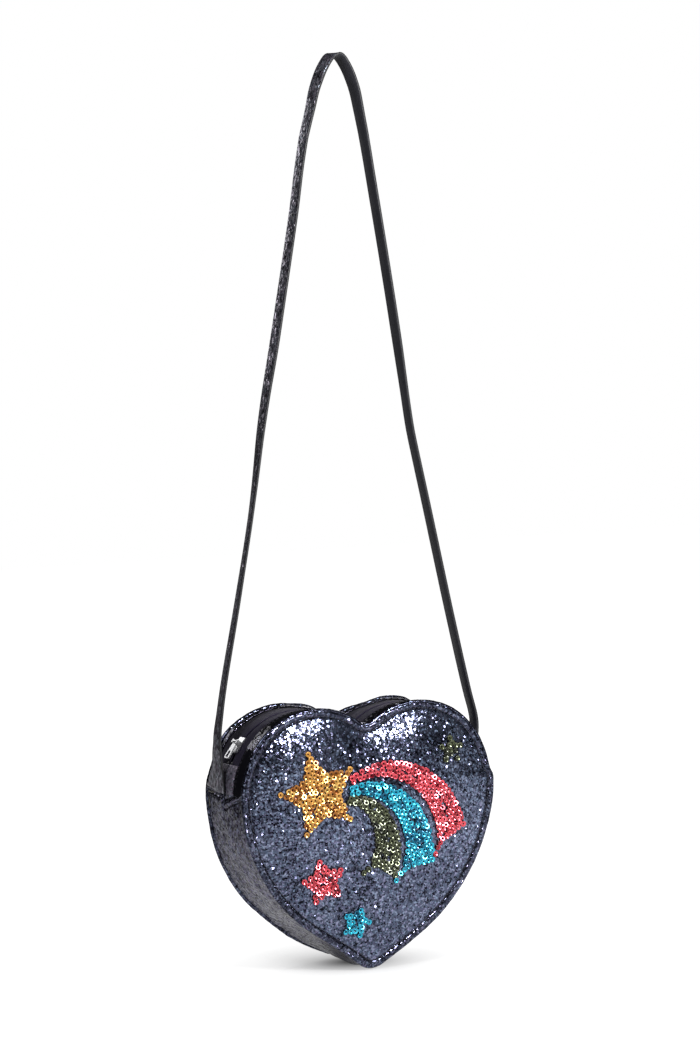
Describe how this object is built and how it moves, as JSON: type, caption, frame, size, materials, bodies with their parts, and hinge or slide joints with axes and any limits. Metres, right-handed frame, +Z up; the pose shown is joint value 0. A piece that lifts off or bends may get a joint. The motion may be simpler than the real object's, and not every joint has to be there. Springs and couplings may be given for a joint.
{
  "type": "crossbody bag",
  "caption": "Heart shaped crossbody bag of glitter sheet with foam panels, a zip mouth over the lobes, sequin motifs and one long flat strap.",
  "frame": {"origin": "underside of the strap at the top of its loop, where the bag hangs; the heart's tip is 588 mm below it", "axes": "+Z up along the hanging strap, +X to the right seen from the front, +Y from the front panel to the back panel"},
  "size_m": [0.1908, 0.0589, 0.5913],
  "materials": {
    "glitter_sheet": "navy glitter coated sheet",
    "strap_backing": "smooth, satin",
    "foam": "open cell foam",
    "stiffener": "matt board",
    "lining": "woven lining",
    "thread": "sewing thread",
    "zip_tape": "twill tape",
    "zip_coil": "nylon coil",
    "nickel": "bright nickel plate",
    "sequin_gold": "shiny cup sequins",
    "sequin_red": "shiny cup sequins",
    "sequin_turquoise": "shiny cup sequins",
    "sequin_green": "shiny cup sequins"
  },
  "bodies": {
    "strap": {"strap_face": "glitter_sheet", "strap_backing": "strap_backing", "strap_stitching": "thread"},
    "bag": {"front_panel": "glitter_sheet", "back_panel": "glitter_sheet", "front_foam": "foam", "back_foam": "foam", "front_lining": "lining", "back_lining": "lining", "lower_gusset": "glitter_sheet", "gusset_stiffener": "stiffener", "gusset_lining": "lining", "front_piping": "glitter_sheet", "back_piping": "glitter_sheet", "front_topstitch": "thread", "back_topstitch": "thread", "front_zip_strip": "glitter_sheet", "rear_zip_strip": "glitter_sheet", "front_zip_tape": "zip_tape", "rear_zip_tape": "zip_tape", "front_zip_coil": "zip_coil", "rear_zip_coil": "zip_coil", "top_stops": "nickel", "bottom_stop": "nickel", "left_zip_tab": "glitter_sheet", "right_zip_tab": "glitter_sheet", "left_cross_seam": "thread", "right_cross_seam": "thread", "left_strap_end": "glitter_sheet", "right_strap_end": "glitter_sheet", "gold_star": "sequin_gold", "red_arc": "sequin_red", "turquoise_arc": "sequin_turquoise", "green_arc": "sequin_green", "red_star": "sequin_red", "turquoise_star": "sequin_turquoise", "green_star": "sequin_green"},
    "front_lip": {"front_lip_panel": "glitter_sheet", "front_lip_foam": "foam", "front_lip_lining": "lining", "front_lip_piping": "glitter_sheet", "front_lip_topstitch": "thread", "front_lip_strip": "glitter_sheet", "front_lip_tape": "zip_tape", "front_lip_coil": "zip_coil"},
    "rear_lip": {"rear_lip_panel": "glitter_sheet", "rear_lip_foam": "foam", "rear_lip_lining": "lining", "rear_lip_piping": "glitter_sheet", "rear_lip_topstitch": "thread", "rear_lip_strip": "glitter_sheet", "rear_lip_tape": "zip_tape", "rear_lip_coil": "zip_coil"},
    "slider": {"slider_body": "nickel", "slider_bail": "nickel"},
    "pull": {"pull_tab": "nickel"}
  },
  "joints": [
    {"name": "bag_swing", "type": "hinge", "parent": "strap", "child": "bag", "pos_m": [0, 0, -0.452], "axis": [1, 0, 0], "range_deg": [-80, 80]},
    {"name": "zip_travel", "type": "hinge", "parent": "bag", "child": "slider", "pos_m": [-0.037, 0, -0.473], "axis": [0, 1, 0], "range_deg": [0, 82]},
    {"name": "pull_flip", "type": "hinge", "parent": "slider", "child": "pull", "pos_m": [-0.08016, 0, -0.43826], "axis": [0, 1, 0], "range_deg": [0, 175]},
    {"name": "front_lip_open", "type": "hinge", "parent": "bag", "child": "front_lip", "pos_m": [-0.09, -0.0296, -0.4505], "axis": [0.9873, 0, 0.159], "range_deg": [0, 36.5], "deforming": ["front_lip_tape", "front_lip_coil"]},
    {"name": "rear_lip_open", "type": "hinge", "parent": "bag", "child": "rear_lip", "pos_m": [-0.09, 0.0296, -0.4505], "axis": [-0.9873, 0, -0.159], "range_deg": [0, 36.5], "deforming": ["rear_lip_tape", "rear_lip_coil"]}
  ],
  "couplings": [
    {"joint": "front_lip_open", "follows": "zip_travel", "ratio": 0.439},
    {"joint": "rear_lip_open", "follows": "zip_travel", "ratio": 0.439}
  ]
}
